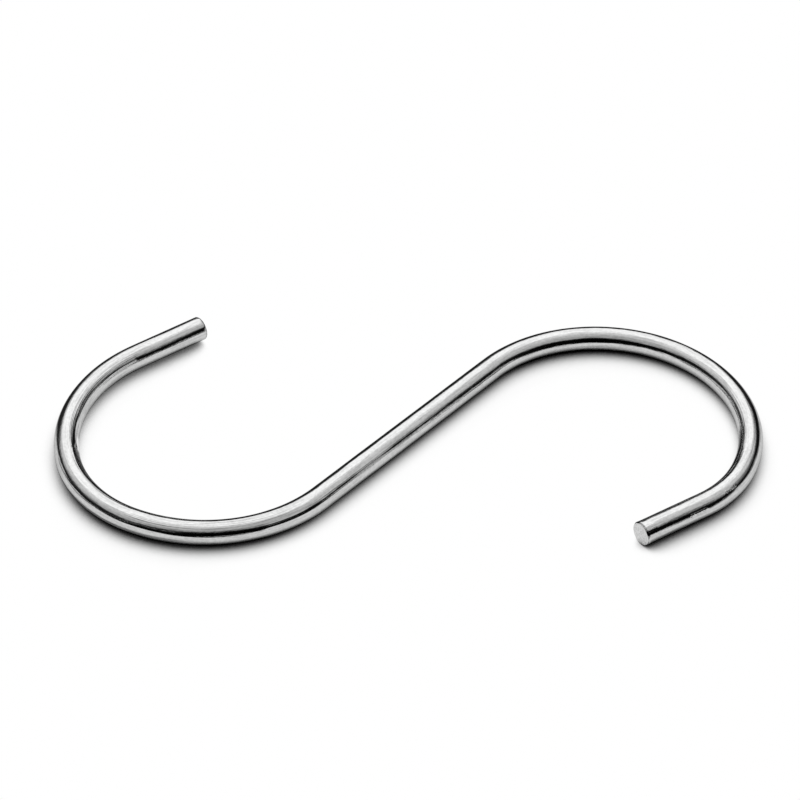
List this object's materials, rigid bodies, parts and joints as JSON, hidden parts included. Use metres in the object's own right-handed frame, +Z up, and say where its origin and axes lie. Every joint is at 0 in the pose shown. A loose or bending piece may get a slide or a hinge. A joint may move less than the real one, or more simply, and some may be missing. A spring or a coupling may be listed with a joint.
{
  "type": "s hook",
  "caption": "S-shaped hook bent from one round wire, with two wide open bends and short straight tips, for hanging things from a rail, rod or chain.",
  "frame": {"origin": "On the surface the hook lies on, straight below the middle of the straight shank", "axes": "+Z up out of the surface, +X along the hook's length from the left crown to the right crown, which is the line its load pulls along, +Y across it to the side of the left tip"},
  "size_m": [0.1418, 0.069, 0.005],
  "materials": {
    "bright_wire": "bright, drawn and bent, with light tool marks"
  },
  "bodies": {
    "root": {"hook": "bright_wire"}
  },
  "joints": []
}
